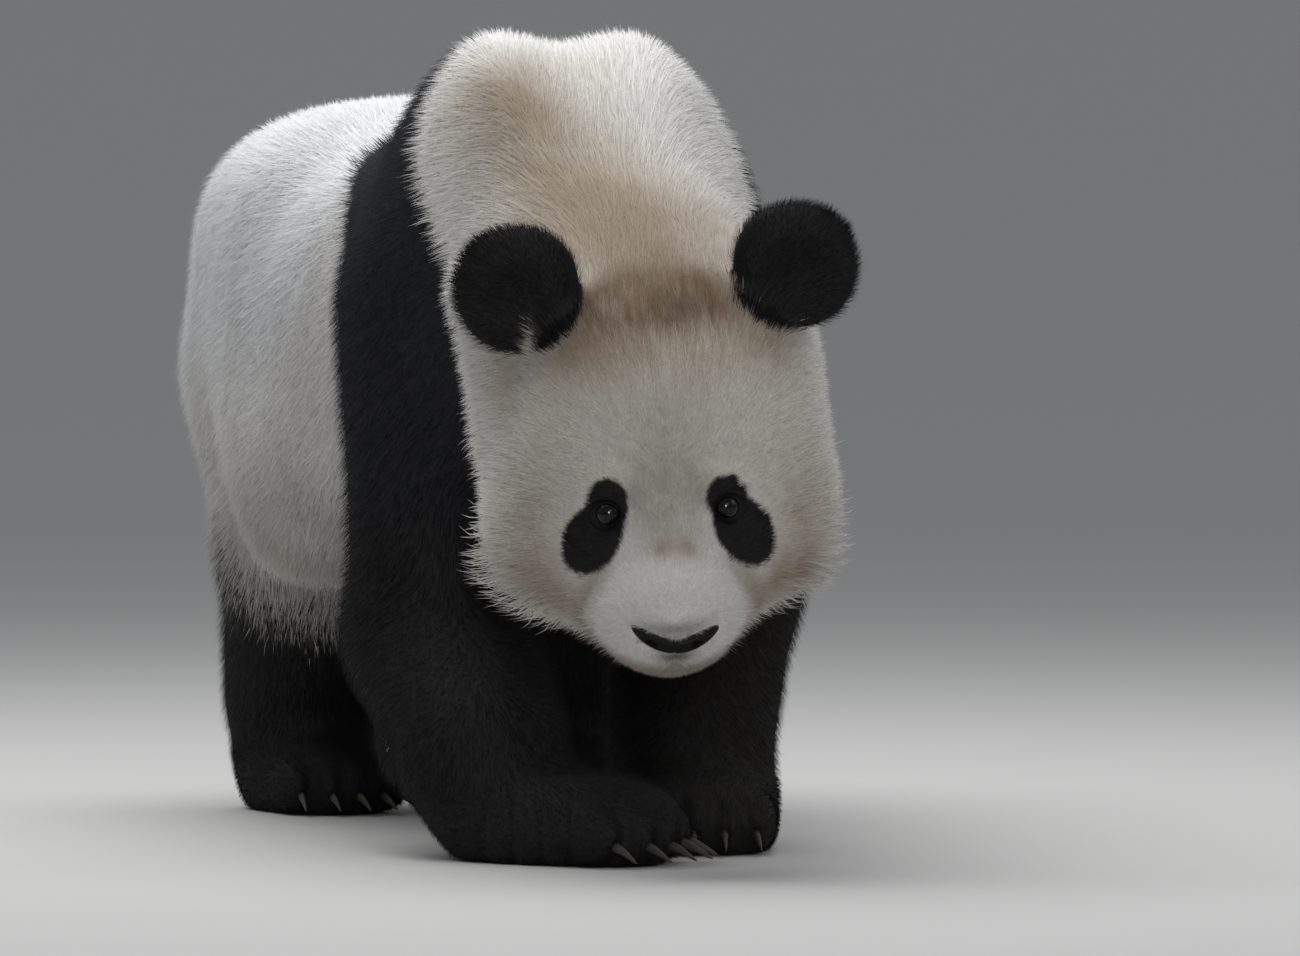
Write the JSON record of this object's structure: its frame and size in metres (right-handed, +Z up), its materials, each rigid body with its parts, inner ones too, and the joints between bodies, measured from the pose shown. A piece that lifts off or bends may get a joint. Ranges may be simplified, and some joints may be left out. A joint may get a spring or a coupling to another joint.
{
  "type": "giant panda figure",
  "caption": "Life-size giant panda standing in mid-walk, head held low and turned to the viewer, forefeet turned in, coat black and white.",
  "frame": {"origin": "middle of the overall box's base, on the ground the soles stand on", "axes": "+Z up, head towards -Y, the animal's left towards +X"},
  "size_m": [0.526, 1.4556, 0.7652],
  "materials": {
    "white_coat": "long off-white fur, tinged tan on the neck and brow",
    "black_coat": "long black fur with a faint brown or blue sheen",
    "tail_coat": "short off-white fur",
    "eyeball": "wet dark brown, nearly black",
    "nose_leather": "moist, finely pebbled black skin",
    "claw_horn": "worn grey-brown horn"
  },
  "bodies": {
    "root": {"ear_right": "black_coat", "ear_left": "black_coat", "head": "white_coat", "forearm_right": "black_coat", "forepaw_right": "black_coat", "forearm_left": "black_coat", "forepaw_left": "black_coat", "shank_right": "black_coat", "hindpaw_right": "black_coat", "shank_left": "black_coat", "hindpaw_left": "black_coat", "neck": "white_coat", "upper_arm_right": "black_coat", "thigh_right": "white_coat", "upper_arm_left": "black_coat", "thigh_left": "white_coat", "tail": "tail_coat", "chest": "black_coat", "belly": "white_coat", "rump": "white_coat", "eye_right": "eyeball", "eye_left": "eyeball", "nose": "nose_leather", "foreclaw_right_1": "claw_horn", "foreclaw_right_2": "claw_horn", "foreclaw_right_3": "claw_horn", "foreclaw_right_4": "claw_horn", "foreclaw_right_5": "claw_horn", "foreclaw_left_1": "claw_horn", "foreclaw_left_2": "claw_horn", "foreclaw_left_3": "claw_horn", "foreclaw_left_4": "claw_horn", "foreclaw_left_5": "claw_horn", "hindclaw_right_1": "claw_horn", "hindclaw_right_2": "claw_horn", "hindclaw_right_3": "claw_horn", "hindclaw_right_4": "claw_horn", "hindclaw_right_5": "claw_horn", "hindclaw_left_1": "claw_horn", "hindclaw_left_2": "claw_horn", "hindclaw_left_3": "claw_horn", "hindclaw_left_4": "claw_horn", "hindclaw_left_5": "claw_horn"}
  },
  "joints": []
}
